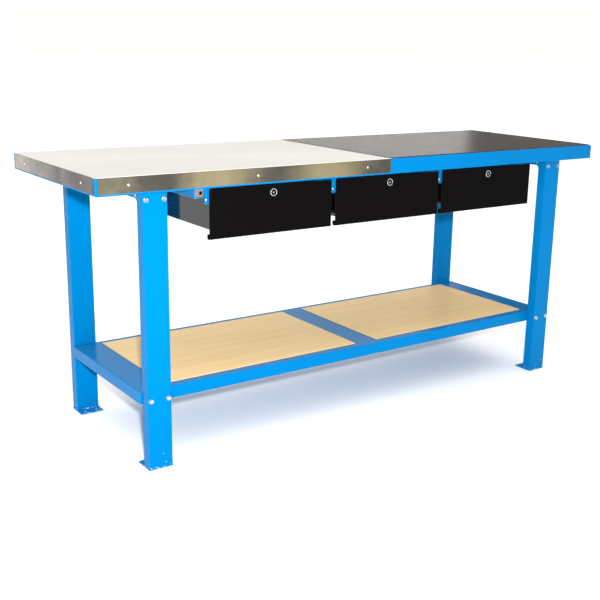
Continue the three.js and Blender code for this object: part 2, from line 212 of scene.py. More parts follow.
def skirt_painted_light():
    """The folded-down sides of the cover: the same sheet, dull, coloured far darker than the top as
    painted shade, with soft painted reflections in light and dark stripes.
    """
    material, tree, shader = new_material("skirt_painted_light", Metallic=1.0)
    coords = object_coords(tree)
    place = add_node(tree, "ShaderNodeSeparateXYZ", {0: coords})
    # Painted reflections: light and dark stripes along X on the front skirt, weaker towards the left
    # corner.
    painted_stripe_pitch, painted_highlight_x = 0.42, -0.665
    shifted = math_node(tree, "SUBTRACT", place.outputs["X"], painted_highlight_x)
    turns = math_node(tree, "MULTIPLY", shifted, 2 * math.pi / painted_stripe_pitch)
    painted_reflection_bands = math_node(tree, "COSINE", turns, 0.0)
    drift = remap(tree, noise(tree, coords, 6.0, 4.0, 0.65), 0.3, 0.7, -0.28, 0.28)
    grain = remap(tree, noise(tree, coords, 420.0, 3.0), 0.3, 0.7, -0.12, 0.12)
    uneven = math_node(tree, "ADD", drift, grain)
    painted_fade_near_corner = remap(tree, place.outputs["X"], -1.05, -0.86, 0.25, 1.0)
    painted_reflection_bands = math_node(tree, "MULTIPLY", remap(tree, painted_reflection_bands, -1.0, 1.0, 0.0, 1.0), painted_fade_near_corner)
    front_painted_light = math_node(tree, "ADD", painted_reflection_bands, uneven)
    front = mix_colour(tree, front_painted_light, (0.105, 0.102, 0.088, 1), (0.39, 0.33, 0.195, 1))
    # Painted light on the end skirt: darker towards the front, lighter towards the back.
    end_painted_light = remap(tree, place.outputs["Y"], -0.10, 0.34, 0.0, 1.0, "SMOOTHSTEP")
    end_painted_light = math_node(tree, "ADD", end_painted_light, uneven)
    end = mix_colour(tree, end_painted_light, (0.13, 0.122, 0.115, 1), (0.50, 0.456, 0.385, 1))
    # The front skirt and the end skirt take different painted light by the way they face.
    facing = add_node(tree, "ShaderNodeNewGeometry").outputs["Normal"]
    towards_end = add_node(tree, "ShaderNodeSeparateXYZ", {0: facing}).outputs["X"]
    is_end = math_node(tree, "GREATER_THAN", math_node(tree, "ABSOLUTE", towards_end, 0.0), 0.5)
    base = mix_colour(tree, is_end, front, end)
    tree.links.new(base, shader.inputs["Base Color"])
    gloss = remap(tree, noise(tree, coords, 30.0, 4.0), 0.3, 0.7, 0.28, 0.42)
    tree.links.new(gloss, shader.inputs["Roughness"])
    dents = bump(tree, noise(tree, coords, 12.0, 2.0), 0.4 * MM, 0.2)
    tree.links.new(dents, shader.inputs["Normal"])
    return material


def black_enamel(name, roughness, specular):
    """Black enamel with orange peel, smears and thinly worn edges."""
    material, tree, shader = new_material(name, Specular_IOR_Level=specular, IOR=1.5)
    coords = object_coords(tree)
    speckle = remap(tree, noise(tree, coords, 700.0, 2.0), 0.35, 0.65, 0.0, 1.0)
    tint = mix_colour(tree, speckle, (0.0010, 0.0008, 0.0010, 1), (0.0034, 0.0026, 0.0032, 1))
    worn = math_node(tree, "MULTIPLY", edge_mask(tree, 0.8 * MM), 0.35)
    tree.links.new(mix_colour(tree, worn, tint, (0.09, 0.09, 0.10, 1)), shader.inputs["Base Color"])
    smear = noise(tree, object_coords(tree, (1.0, 1.0, 2.5)), 9.0, 5.0, 0.6)
    spread = remap(tree, smear, 0.3, 0.7, roughness * 0.85, roughness * 1.25)
    tree.links.new(spread, shader.inputs["Roughness"])
    peel = bump(tree, noise(tree, coords, 380.0, 1.0), 0.05 * MM, 0.3)
    tree.links.new(peel, shader.inputs["Normal"])
    return material


def rubber():
    """Black rubber with patches of dust."""
    material, tree, shader = new_material(
        "rubber",
        IOR=1.52,
        Sheen_Weight=0.04,
        Sheen_Roughness=0.35,
        Sheen_Tint=(1.0, 0.84, 0.66, 1),
    )
    coords = object_coords(tree)
    dust = remap(tree, noise(tree, coords, 6.0, 6.0, 0.65), 0.35, 0.75, 0.0, 1.0)
    base = mix_colour(tree, dust, (0.020, 0.018, 0.016, 1), (0.034, 0.031, 0.026, 1))
    tree.links.new(base, shader.inputs["Base Color"])
    gloss = remap(tree, noise(tree, coords, 45.0, 4.0), 0.3, 0.7, 0.12, 0.20)
    tree.links.new(gloss, shader.inputs["Roughness"])
    skin = bump(tree, noise(tree, coords, 900.0, 2.0), 0.02 * MM, 0.2)
    tree.links.new(skin, shader.inputs["Normal"])
    return material


def timber(name, pale, dark, coat):
    """Light board with long grain along X, planks a hand wide, and fine pores."""
    material, tree, shader = new_material(
        name, Coat_Weight=coat, Coat_Roughness=0.2, Specular_IOR_Level=0.3
    )
    stretched = object_coords(tree, (0.7, 9.0, 9.0))
    figure = noise(tree, stretched, 6.0, 7.0, 0.6)
    figure = remap(tree, figure, 0.30, 0.70, 0.0, 1.0)
    grain = mix_colour(tree, figure, pale, dark)
    planks = add_node(
        tree,
        "ShaderNodeTexBrick",
        {
            "Vector": object_coords(tree),
            "Color1": (0.0, 0.0, 0.0, 1),
            "Color2": (1.0, 1.0, 1.0, 1),
            "Mortar": (0.5, 0.5, 0.5, 1),
            "Scale": 1.0,
            "Mortar Size": 0.0004,
            "Brick Width": 0.42,
            "Row Height": 0.08,
        },
    ).outputs["Color"]
    patch = math_node(tree, "MULTIPLY", planks, 0.10)
    deeper = tuple(channel * 0.72 for channel in dark[:3]) + (1,)
    grain = mix_colour(tree, patch, grain, deeper)
    pores = noise(tree, object_coords(tree, (18.0, 420.0, 420.0)), 4.0, 3.0)
    streak = remap(tree, pores, 0.58, 0.75, 0.0, 0.35)
    grain = mix_colour(tree, streak, grain, deeper)
    tree.links.new(grain, shader.inputs["Base Color"])
    gloss = remap(tree, figure, 0.0, 1.0, 0.38, 0.52)
    tree.links.new(gloss, shader.inputs["Roughness"])
    tree.links.new(bump(tree, pores, 0.06 * MM, 0.4), shader.inputs["Normal"])
    return material


def plated(name, colour, low, high):
    """Zinc plate or chrome: clean metal with fine scratches and a little clouding."""
    material, tree, shader = new_material(name, Metallic=1.0)
    coords = object_coords(tree)
    cloud = remap(tree, noise(tree, coords, 60.0, 4.0), 0.3, 0.7, 0.0, 1.0)
    duller = tuple(channel * 0.82 for channel in colour) + (1,)
    tree.links.new(mix_colour(tree, cloud, colour + (1,), duller), shader.inputs["Base Color"])
    scratch = noise(tree, object_coords(tree, (30.0, 400.0, 900.0)), 3.0, 2.0)
    tree.links.new(remap(tree, scratch, 0.35, 0.65, low, high), shader.inputs["Roughness"])
    tree.links.new(bump(tree, scratch, 0.01 * MM, 0.3), shader.inputs["Normal"])
    return material


BLUE = blue_powder_coat()
STEEL_TOP = bright_steel()
SKIRT_PAINTED_LIGHT = skirt_painted_light()
FRONT_BLACK = black_enamel("black_front", 0.40, 0.025)
SIDE_BLACK = black_enamel("black_sides", 0.05, 0.5)
RUBBER = rubber()
BOARD = timber("shelf_board", (0.76, 0.555, 0.268, 1), (0.71, 0.49, 0.212, 1), 0.05)
CORE = timber("core_timber", (0.60, 0.42, 0.24, 1), (0.47, 0.31, 0.16, 1), 0.0)
ZINC = plated("zinc_plate", (0.60, 0.61, 0.64), 0.22, 0.38)
DULL_ZINC = plated("dull_zinc", (0.34, 0.31, 0.31), 0.35, 0.55)
CHROME = plated("chrome", (0.42, 0.41, 0.42), 0.07, 0.16)


# ---------------------------------------------------------------- mesh helpers


def add_modifier(piece, kind, settings):
    modifier = piece.modifiers.new(kind.lower(), kind)
    for key, value in settings.items():
        setattr(modifier, key, value)


def bake(bm, *modifiers):
    """The bmesh as a mesh, after the given (kind, settings) modifiers."""
    mesh = bpy.data.meshes.new("draft")
    bm.to_mesh(mesh)
    bm.free()
    draft = bpy.data.objects.new("draft", mesh)
    SCENE.collection.objects.link(draft)
    for kind, settings in modifiers:
        add_modifier(draft, kind, settings)
    graph = bpy.context.evaluated_depsgraph_get()
    result = bpy.data.meshes.new_from_object(draft.evaluated_get(graph))
    bpy.data.objects.remove(draft)
    return result


def thicken(sheet, side):
    return ("SOLIDIFY", {"thickness": sheet, "offset": side, "use_even_offset": True})


def soften(width):
    settings = {"width": width, "segments": 2, "limit_method": "ANGLE"}
    return ("BEVEL", {**settings, "angle_limit": math.radians(50)})


def cut_with(bm, cutters, *modifiers):
    """The bmesh as a mesh, with the cutter meshes taken out of it before the modifiers."""
    tools = []
    for cutter in cutters:
        tool = bpy.data.objects.new("cutter", cutter)
        SCENE.collection.objects.link(tool)
        tools.append(tool)
    cuts = []
    for tool in tools:
        cuts.append(("BOOLEAN", {"object": tool, "operation": "DIFFERENCE", "solver": "EXACT"}))
    mesh = bake(bm, *cuts, *modifiers)
    for tool in tools:
        bpy.data.objects.remove(tool)
    return mesh


def assemble(name, meshes, materials, body, nodes=()):
    """Joins meshes into one named piece that rides on a body and stands for CAD nodes."""
    whole = bmesh.new()
    for mesh in meshes:
        whole.from_mesh(mesh)
    result = bpy.data.meshes.new(name)
    whole.to_mesh(result)
    whole.free()
    result.shade_smooth()
    result.set_sharp_from_angle(angle=math.radians(42))
    for material in materials:
        result.materials.append(material)
    piece = bpy.data.objects.new(name, result)
    SCENE.collection.objects.link(piece)
    weighted = piece.modifiers.new("weighted", "WEIGHTED_NORMAL")
    weighted.keep_sharp = True
    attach(piece, body)
    if nodes:
        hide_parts(*nodes)
    return piece


def round_corners(path, radius):
    """The open path of 2-D points with every inner corner turned into an arc."""
    rounded = [Vector(path[0])]
    for before, corner, after in zip(path, path[1:], path[2:]):
        corner = Vector(corner)
        back = (Vector(before) - corner).normalized()
        ahead = (Vector(after) - corner).normalized()
        half = back.angle(ahead) / 2
        centre = corner + (back + ahead).normalized() * (radius / math.sin(half))
        start = corner + back * (radius / math.tan(half)) - centre
        end = corner + ahead * (radius / math.tan(half)) - centre
        sweep = -start.angle_signed(end)
        first = math.atan2(start.y, start.x)
        for step in range(FOLD_STEPS + 1):
            angle = first + sweep * step / FOLD_STEPS
            rounded.append(centre + radius * Vector((math.cos(angle), math.sin(angle))))
    rounded.append(Vector(path[-1]))
    return rounded


def folded_strip(axis, path, span, sheet, fold, side):
    """Sheet folded along an outline of (y, z) or (x, z) points and drawn out along X or Y."""
    bm = bmesh.new()
    rows = []
    for u, v in round_corners(path, fold):
        ends = [(w, u, v) if axis == "X" else (u, w, v) for w in span]
        rows.append([bm.verts.new(point) for point in ends])
    for lower, upper in zip(rows, rows[1:]):
        bm.faces.new((lower[0], lower[1], upper[1], upper[0]))
    return bake(bm, thicken(sheet, side), soften(SHEET_EDGE))


def cuboid(low, high):
    bm = bmesh.new()
    bmesh.ops.create_cube(bm, size=1.0)
    low, high = Vector(low), Vector(high)
    for vertex in bm.verts:
        vertex.co = (low + high) / 2 + vertex.co * (high - low)
    return bm


def upright_edges(bm):
    """The edges that rise by more than a millimetre."""
    return [edge for edge in bm.edges if abs((edge.verts[0].co - edge.verts[1].co).z) > 1 * MM]


def bevel_edges(bm, edges, radius, segments=4):
    bmesh.ops.bevel(bm, geom=edges, offset=radius, segments=segments, profile=0.5, affect="EDGES")


def slab(low, high, edge, corner=0.0):
    """A flat plate with softened edges and, if asked for, rounded corners seen from above."""
    bm = cuboid(low, high)
    if corner:
        bevel_edges(bm, upright_edges(bm), corner, 5)
    return bake(bm, soften(edge))


def folded_tray(low, high, sheet, fold, lip=0.0, open_top=False):
    """Sheet folded into a five-sided box, open above or below, where it may have a lip."""
    bm = cuboid(low, high)
    up = 1 if open_top else -1
    gone = [face for face in bm.faces if face.normal.z * up > 0.5]
    bmesh.ops.delete(bm, geom=gone, context="FACES_ONLY")
    if lip:
        rim = [edge for edge in bm.edges if edge.is_boundary]
        made = bmesh.ops.extrude_edge_only(bm, edges=rim)["geom"]
        middle = (Vector(low) + Vector(high)) / 2
        for vertex in [item for item in made if isinstance(item, bmesh.types.BMVert)]:
            vertex.co.x -= math.copysign(lip, vertex.co.x - middle.x)
            vertex.co.y -= math.copysign(lip, vertex.co.y - middle.y)
    bmesh.ops.recalc_face_normals(bm, faces=bm.faces)
    folds = [e for e in bm.edges if len(e.link_faces) == 2 and e.calc_face_angle() > 0.5]
    bevel_edges(bm, folds, fold)
    return bake(bm, thicken(sheet, GROW_IN), soften(SHEET_EDGE))


def loft(rings, closed, *modifiers):
    """Skins rings of points, each to the next; closed joins the last to the first, else both
    ends are capped."""
    bm = bmesh.new()
    skin = [[bm.verts.new(point) for point in ring] for ring in rings]
    following = skin[1:] + skin[:1] if closed else skin[1:]
    for first, second in zip(skin, following):
        for k in range(len(first)):
            after = (k + 1) % len(first)
            bm.faces.new((first[k], first[after], second[after], second[k]))
    if not closed:
        bm.faces.new(skin[0])
        bm.faces.new(skin[-1])
    bmesh.ops.recalc_face_normals(bm, faces=bm.faces)
    return bake(bm, *modifiers)


def turned(profile, centre, axis="Y", steps=40):
    """A solid of revolution from (radius, depth) points; it starts and ends on the axis."""
    bm = bmesh.new()
    rings = []
    for radius, depth in profile:
        count = 1 if radius == 0 else steps
        ring = []
        for step in range(count):
            angle = 2 * math.pi * step / steps
            u, v = radius * math.cos(angle), radius * math.sin(angle)
            offset = (u, depth, v) if axis == "Y" else (u, v, depth)
            ring.append(bm.verts.new(Vector(centre) + Vector(offset)))
        rings.append(ring)
    for inner, outer in zip(rings, rings[1:]):
        for step in range(steps):
            after = (step + 1) % steps
            corners = [
                inner[step % len(inner)],
                inner[after % len(inner)],
                outer[after % len(outer)],
                outer[step % len(outer)],
            ]
            bm.faces.new(list(dict.fromkeys(corners)))
    bmesh.ops.recalc_face_normals(bm, faces=bm.faces)
    return bake(bm)


def turned_ring(profile, centre, steps=48):
    """A closed (radius, y) outline turned about the Y axis, for rings and tubes."""
    rings = []
    for step in range(steps):
        angle = 2 * math.pi * step / steps
        across, up = math.cos(angle), math.sin(angle)
        rings.append([(centre[0] + r * across, y, centre[2] + r * up) for r, y in profile])
    return loft(rings, True)


def arc_points(centre, radius, start, end, steps):
    """(radius, depth) points of an arc, with its angles in degrees."""
    points = []
    for step in range(steps + 1):
        angle = math.radians(start + (end - start) * step / steps)
        points.append((centre[0] + radius * math.cos(angle), centre[1] + radius * math.sin(angle)))
    return points


# ---------------------------------------------------------------- worktop


# How far the cover's front and rear skirts, and its end skirt, stop short of the corners.
FRONT_NOTCH = 8.0 * MM
END_NOTCH = 20.0 * MM


def folded_edge(start, skirt, inward):
    """Stations (position, drop) from the foot of a skirt, up its side and round the fold."""
    stations = [(start, skirt)]
    for step in range(FOLD_STEPS + 1):
        angle = math.pi / 2 * step / FOLD_STEPS
        position = start + inward * THIN_FOLD * (1 - math.cos(angle))
        stations.append((position, THIN_FOLD * (1 - math.sin(angle))))
    return stations


def steel_cover():
    """One sheet folded down at the left end, the front and the back, with open corners."""
    low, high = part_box("steel_cover")
    skirt = high.z - low.z
    front = folded_edge(low.y, skirt, 1) + [(low.y + END_NOTCH, 0.0)]
    back = folded_edge(high.y, skirt, -1) + [(high.y - END_NOTCH, 0.0)]
    x_stations = folded_edge(low.x, skirt, 1) + [(low.x + FRONT_NOTCH, 0.0), (high.x, 0.0)]
    y_stations = front + list(reversed(back))
    folds = FOLD_STEPS + 1
    last = len(y_stations) - 1
    bm = bmesh.new()
    grid = []
    for x, x_drop in x_stations:
        drops = [(y, max(x_drop, y_drop)) for y, y_drop in y_stations]
        grid.append([bm.verts.new((x, y, high.z - drop)) for y, drop in drops])
    for i in range(len(x_stations) - 1):
        for j in range(last):
            near_side = min(j, last - 1 - j)
            open_corner = (i < folds and near_side <= folds) or (i == folds and near_side < folds)
            if not open_corner:
                bm.faces.new((grid[i][j], grid[i + 1][j], grid[i + 1][j + 1], grid[i][j + 1]))
    loose = [vertex for vertex in bm.verts if not vertex.link_faces]
    bmesh.ops.delete(bm, geom=loose, context="VERTS")
    bmesh.ops.recalc_face_normals(bm, faces=bm.faces)
    # Faces that look up take the bright top finish. The skirts take a much darker finish of the same
    # sheet, which is painted shade with painted reflections.
    for face in bm.faces:
        face.material_index = 0 if face.normal.z > 0.2 else 1
    sheet = bake(bm, thicken(SHEET_COVER, GROW_IN))
    finishes = [STEEL_TOP, SKIRT_PAINTED_LIGHT]
    assemble("folded_steel_cover", [sheet], finishes, "bench", ["steel_cover"])


def dome_screw(position, outward):
    """Low dome-head screw that sits 0.5 mm deep in the sheet, its head pointing outward."""
    radius, rise, seat, rings = 4.6 * MM, 2.2 * MM, 0.5 * MM, 8
    profile = [(0, seat), (radius * 1.04, seat)]
    for ring in range(rings):
        angle = math.pi / 2 * ring / rings
        profile.append((radius * math.cos(angle), -rise * math.sin(angle)))
    profile.append((0, -rise))
    mesh = turned(profile, (0, 0, 0), steps=24)
    bm = bmesh.new()
    bm.from_mesh(mesh)
    turn = Vector((0, -1, 0)).rotation_difference(Vector(outward)).to_matrix()
    bmesh.ops.transform(bm, matrix=turn.to_4x4(), verts=bm.verts)
    bmesh.ops.translate(bm, vec=position, verts=bm.verts)
    return bake(bm)


def cover_screws():
    """Three screws in each long skirt of the cover, and two in its end skirt."""
    low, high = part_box("steel_cover")
    inset, end_inset, drop = 100.0 * MM, 105.0 * MM, 25.0 * MM
    z = high.z - drop
    meshes = []
    for fraction in (0.0, 0.5, 1.0):
        x = (low.x + inset) * (1 - fraction) + (high.x - inset) * fraction
        meshes.append(dome_screw((x, low.y, z), (0, -1, 0)))
        meshes.append(dome_screw((x, high.y, z), (0, 1, 0)))
    for y in (low.y + end_inset, high.y - end_inset):
        meshes.append(dome_screw((low.x, y, z), (-1, 0, 0)))
    assemble("cover_screws", meshes, [ZINC], "bench")


def worktop_pan():
    """The blue pan over the core, open below, with a lip turned in round its lower edge."""
    low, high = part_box("top_frame")
    lip = 18.0 * MM
    pan = folded_tray(low, high, SHEET_PAN, FOLD, lip=lip)
    assemble("folded_worktop_pan", [pan], [BLUE], "bench", ["top_frame"])


def ribbed_mat():
    """Rubber mat with fine ribs running from front to back."""
    low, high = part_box("rubber_mat")
    pitch, rib, groove = 4.0 * MM, 2.4 * MM, 0.7 * MM
    count = int((high.x - low.x) / pitch)
    slope = (pitch - rib) / 4
    stations = []
    for index in range(count):
        x = low.x + (high.x - low.x - count * pitch) / 2 + index * pitch
        stations += [(x, groove), (x + slope, 0.0)]
        stations += [(x + slope + rib, 0.0), (x + 2 * slope + rib, groove)]
    stations = [(low.x, groove)] + stations + [(high.x, groove)]
    rings = []
    for x, drop in stations:
        corners = [(low.y, low.z), (low.y, high.z - drop), (high.y, high.z - drop), (high.y, low.z)]
        rings.append([(x, y, z) for y, z in corners])
    mat = loft(rings, False)
    assemble("ribbed_rubber_mat", [mat], [RUBBER], "bench", ["rubber_mat"])


# ---------------------------------------------------------------- legs and crossbeams


def box_tube(low, high, wall, radius):
    """An open-ended upright box section with rounded corners."""
    bm = cuboid(low, high)
    ends = [face for face in bm.faces if abs(face.normal.z) > 0.5]
    bmesh.ops.delete(bm, geom=ends, context="FACES_ONLY")
    upright = [edge for edge in bm.edges if not edge.is_boundary]
    bevel_edges(bm, upright, radius, 5)
    return bake(bm, thicken(wall, GROW_IN))


def weld_bead(low, high, z, radius):
    """A rippled fillet weld round the foot of a leg."""
    inset = 4.0 * MM
    corners = [
        Vector((low.x + inset, low.y, z)),
        Vector((high.x - inset, low.y, z)),
        Vector((high.x, low.y + inset, z)),
        Vector((high.x, high.y - inset, z)),
        Vector((high.x - inset, high.y, z)),
        Vector((low.x + inset, high.y, z)),
        Vector((low.x, high.y - inset, z)),
        Vector((low.x, low.y + inset, z)),
    ]
    middle = (low + high) / 2
    up = Vector((0, 0, 1))
    step, sides = 1.2 * MM, 6
    ripple_turn, ripple_depth = 2.4, 0.14
    rings = []
    for start, end in zip(corners, corners[1:] + corners[:1]):
        pieces = max(1, round((end - start).length / step))
        for i in range(pieces):
            point = start.lerp(end, i / pieces)
            out = Vector((point.x - middle.x, point.y - middle.y, 0)).normalized()
            r = radius * (1 + ripple_depth * math.sin(ripple_turn * len(rings)))
            ring = []
            for k in range(sides):
                angle = 2 * math.pi * k / sides
                ring.append(point + out * r * math.cos(angle) + up * r * math.sin(angle))
            rings.append(ring)
    return loft(rings, True)


def foot_plate(low, high, end):
    """The plate under a leg, with two anchor holes in the part that reaches inwards."""
    hole_radius, spread, inset, corner_radius = 5.5 * MM, 22.0 * MM, 19.0 * MM, 3.0 * MM
    below, above = -1.0 * MM, 9.0 * MM
    hole = [(0, below), (hole_radius, below), (hole_radius, above), (0, above)]
    y = high.y - inset if end < 0 else low.y + inset
    middle = (low.x + high.x) / 2
    drills = [turned(hole, (x, y, 0), "Z", 32) for x in (middle - spread, middle + spread)]
    bm = cuboid(low, high)
    bevel_edges(bm, upright_edges(bm), corner_radius)
    return cut_with(bm, drills, soften(PLATE_EDGE))


def ear_plate(x, outline):
    """One flat ear on a leg, from its (y, z) outline."""
    rings = [[(side, y, z) for y, z in outline] for side in (x, x + SHEET_LEG)]
    return loft(rings, False, soften(PLATE_EDGE))


def leg(corner):
    """A box-section leg, with its foot plate, its weld and two ears that reach inwards."""
    low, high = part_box(f"leg_{corner}")
    end = -1 if corner.startswith("front") else 1
    overhang, plate, depth = 1.0 * MM, 4.0 * MM, 40.0 * MM
    outer = (low.y + overhang) if end < 0 else (high.y - overhang)
    inner = outer - end * depth
    tube_low = Vector((low.x + overhang, min(outer, inner), plate / 2))
    tube_high = Vector((high.x - overhang, max(outer, inner), high.z))
    weld = 2.0 * MM
    meshes = [
        box_tube(tube_low, tube_high, SHEET_LEG, FOLD),
        foot_plate(low, Vector((high.x, high.y, plate)), end),
        weld_bead(tube_low, tube_high, plate, weld),
    ]
    reach, overlap, screw_rise = 14.0 * MM, 1.5 * MM, 6.0 * MM
    ear_height, slant_height = 26.0 * MM, 11.0 * MM
    tip = inner - end * reach
    root = inner + end * overlap
    ear_bottom = high.z - ear_height
    slant_top = ear_bottom + slant_height
    outline = [(root, ear_bottom), (inner, ear_bottom)]
    outline += [(tip, slant_top), (tip, high.z), (root, high.z)]
    for x in (tube_low.x, tube_high.x - SHEET_LEG):
        meshes.append(ear_plate(x, outline))
    for side, x, out in zip(SIDES, (tube_low.x, tube_high.x), (-1, 1)):
        place = (x, inner - end * reach / 2, slant_top + screw_rise)
        screw = dome_screw(place, (out, 0, 0))
        assemble(f"ear_screw_{corner}_{side}", [screw], [ZINC], "bench")
    assemble(f"box_leg_{corner}", meshes, [BLUE], "bench", [f"leg_{corner}"])


def crossbeam(side):
    """A channel from leg to leg, open below, with a plate at each end."""
    low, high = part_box(f"crossbeam_{side}")
    depth = 23.7 * MM
    bottom = high.z - depth
    path = [(low.x, bottom), (low.x, high.z), (high.x, high.z), (high.x, bottom)]
    meshes = [folded_strip("Y", path, (low.y, high.y), SHEET_LEG, FOLD, GROW_OUT)]
    for y in (low.y, high.y - SHEET_LEG):
        far = (high.x, y + SHEET_LEG, high.z - SHEET_LEG)
        meshes.append(slab((low.x, y, low.z), far, PLATE_EDGE))
    node = f"crossbeam_{side}"
    assemble(f"folded_{node}", meshes, [BLUE], "bench", [node])


BOLT_HEAD = 5.5 * MM


def bolt_mesh(centre, outward):
    """Flanged hexagon bolt head with a dished top, pointing along -Y or +Y, and its shank."""
    flange, rim, skirt = 8.2 * MM, 0.9 * MM, 2.0 * MM
    hexagon, chamfer, dish = 7.4 * MM, 0.9 * MM, 2.0 * MM
    shank, reach, point = 4.0 * MM, 48.0 * MM, 1.0 * MM
    flange_profile = [(0, 0.0), (flange, 0.0), (flange, rim), (hexagon, skirt), (0, skirt)]
    hex_profile = [
        (0, skirt / 2),
        (hexagon, skirt / 2),
        (hexagon, BOLT_HEAD - chamfer),
        (hexagon * 0.88, BOLT_HEAD),
        (hexagon * 0.62, BOLT_HEAD),
        (hexagon * 0.50, BOLT_HEAD - dish * 0.9),
        (0, BOLT_HEAD - dish),
    ]
    shank_profile = [(0, -reach), (shank * 0.8, -reach), (shank, point - reach)]
    shank_profile += [(shank, skirt / 4), (0, skirt / 4)]
    meshes = []
    for profile, steps in ((flange_profile, 32), (hex_profile, 6), (shank_profile, 16)):
        meshes.append(turned([(r, outward * d) for r, d in profile], centre, steps=steps))
    return meshes


def leg_bolts():
    for corner in CORNERS:
        outward = -1 if corner.startswith("front") else 1
        for level in ("top", "shelf"):
            for number in (1, 2):
                node = f"{level}_bolt_{corner}_{number}"
                low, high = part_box(node)
                seat = low.y + BOLT_HEAD if outward < 0 else high.y - BOLT_HEAD
                centre = ((low.x + high.x) / 2, seat, (low.z + high.z) / 2)
                meshes = bolt_mesh(centre, outward)
                name = f"flange_bolt_{level}_{corner}_{number}"
                assemble(name, meshes, [ZINC], "bench", [node])


# ---------------------------------------------------------------- shelf


def shelf():
    """The blue tray, folded down all round, and the two boards that lie on it."""
    low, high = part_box("shelf_tray")
    tray = folded_tray(low, high, SHEET_PAN, FOLD)
    assemble("folded_shelf_tray", [tray], [BLUE], "bench", ["shelf_tray"])
    for side in SIDES:
        node = f"shelf_board_{side}"
        low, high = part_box(node)
        board = slab(low, high, 0.6 * MM, corner=2.0 * MM)
        assemble(f"timber_board_{side}", [board], [BOARD], "bench", [node])


# ---------------------------------------------------------------- hangers


def hanger(number):
    """A channel under the pan, open above. Where its box reaches lower, it has a tab in front."""
    node = f"runner_hanger_{number}"
    low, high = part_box(node)
    width, depth, bolt_aside, bolt_drop = 37.0 * MM, 27.7 * MM, 4.0 * MM, 6.0 * MM
    right, bottom = low.x + width, high.z - depth
    path = [(low.x, high.z), (low.x, bottom), (right, bottom), (right, high.z)]
    meshes = [folded_strip("Y", path, (low.y, high.y), SHEET_PAN, THIN_FOLD, GROW_IN)]
    if low.z < bottom - 1 * MM:
        meshes.append(hanger_tab(right - SHEET_PAN, low, high))
        tab_bolt(number, (right + bolt_aside, low.y, bottom - bolt_drop))
    assemble(f"folded_hanger_{number}", meshes, [BLUE], "bench", [node])
    if number == HANGERS[0]:
        stop_plate(number, Vector((low.x, low.y, bottom)), Vector((right, high.y, high.z)))


def hanger_tab(left, low, high):
    """The front plate of a hanger, with its two lower corners rounded."""
    radius = 6.0 * MM
    bm = cuboid((left, low.y, low.z), (high.x, low.y + SHEET_PAN, high.z))
    lower = [e for e in bm.edges if all(v.co.z < low.z + 1 * MM for v in e.verts)]
    corners = [e for e in lower if abs((e.verts[0].co - e.verts[1].co).y) > 1 * MM]
    bevel_edges(bm, corners, radius, 6)
    return bake(bm, soften(PLATE_EDGE))


def stop_plate(number, low, high):
    """A zinc plate just inside the mouth of a channel, with a square hole and a black sheet behind it,
    which is painted shade for the dark hollow behind the hole.
    """
    inset, sheet, play, hole, edge = 4.0 * MM, 1.5 * MM, 0.4 * MM, 5.0 * MM, 0.2 * MM
    left, right = low.x + SHEET_PAN + play, high.x - SHEET_PAN - play
    bottom, top = low.z + SHEET_PAN + play, high.z
    hole_place = 0.68
    centre_x, centre_z = left + hole_place * (right - left), (bottom + top) / 2
    columns = [left, centre_x - hole, centre_x + hole, right]
    rows = [bottom, centre_z - hole, centre_z + hole, top]
    bm = bmesh.new()
    grid = [[bm.verts.new((x, low.y + inset, z)) for z in rows] for x in columns]
    for i in range(3):
        for j in range(3):
            if (i, j) != (1, 1):
                bm.faces.new((grid[i][j], grid[i + 1][j], grid[i + 1][j + 1], grid[i][j + 1]))
    bmesh.ops.recalc_face_normals(bm, faces=bm.faces)
    plate = bake(bm, thicken(sheet, 0), soften(edge))
    # The black sheet behind the hole stands in for the shade in the hollow: painted shade.
    front = low.y + inset + 2 * sheet
    lower = (centre_x - hole, front, centre_z - hole)
    painted_shade_backing = slab(lower, (centre_x + hole, front + sheet, centre_z + hole), edge)
    for face in painted_shade_backing.polygons:
        face.material_index = 1
    finishes = [DULL_ZINC, FRONT_BLACK]
    assemble(f"hanger_stop_{number}", [plate, painted_shade_backing], finishes, "bench")


def tab_bolt(number, centre):
    """A low button-head bolt on the front of a hanger's tab."""
    rim, shoulder, crown = 4.5 * MM, 3.4 * MM, 1.4 * MM
    rim_rise, shoulder_rise, rise = 1.2 * MM, 2.6 * MM, 3.1 * MM
    profile = [(0, 0.0), (rim, 0.0), (rim, -rim_rise)]
    profile += [(shoulder, -shoulder_rise), (crown, -rise), (0, -rise)]
    head = turned(profile, centre, steps=24)
    assemble(f"tab_bolt_{number}", [head], [ZINC], "bench")


# ---------------------------------------------------------------- drawers and locks


def drawer_front(number):
    """The black front, with its lower edge folded back and up as a pull lip."""
    node = f"drawer_front_{number}"
    low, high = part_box(node)
    lip = high.y - low.y
    path = [(low.y, high.z), (low.y, low.z), (high.y, low.z), (high.y, low.z + lip)]
    front = folded_strip("X", path, (low.x, high.x), SHEET_DRAWER, THIN_FOLD, GROW_OUT)
    body = f"drawer_{number}"
    assemble(f"folded_front_{number}", [front], [FRONT_BLACK], body, [node])


def drawer_box(number):
    node = f"drawer_box_{number}"
    low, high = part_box(node)
    fold = 2.0 * MM
    tray = folded_tray(low, high, SHEET_DRAWER, fold, open_top=True)
    assemble(f"folded_box_{number}", [tray], [SIDE_BLACK], f"drawer_{number}", [node])


def paint_recess_shade(mesh, centre, inner, outer):
    """Gives the second material, black, to the front faces between two radii about a lock's axis, as
    painted shade in the recess.
    """
    for face in mesh.polygons:
        radius = math.hypot(face.center.x - centre[0], face.center.z - centre[2])
        if inner < radius < outer and face.normal.y < -0.3:
            face.material_index = 1
    return mesh


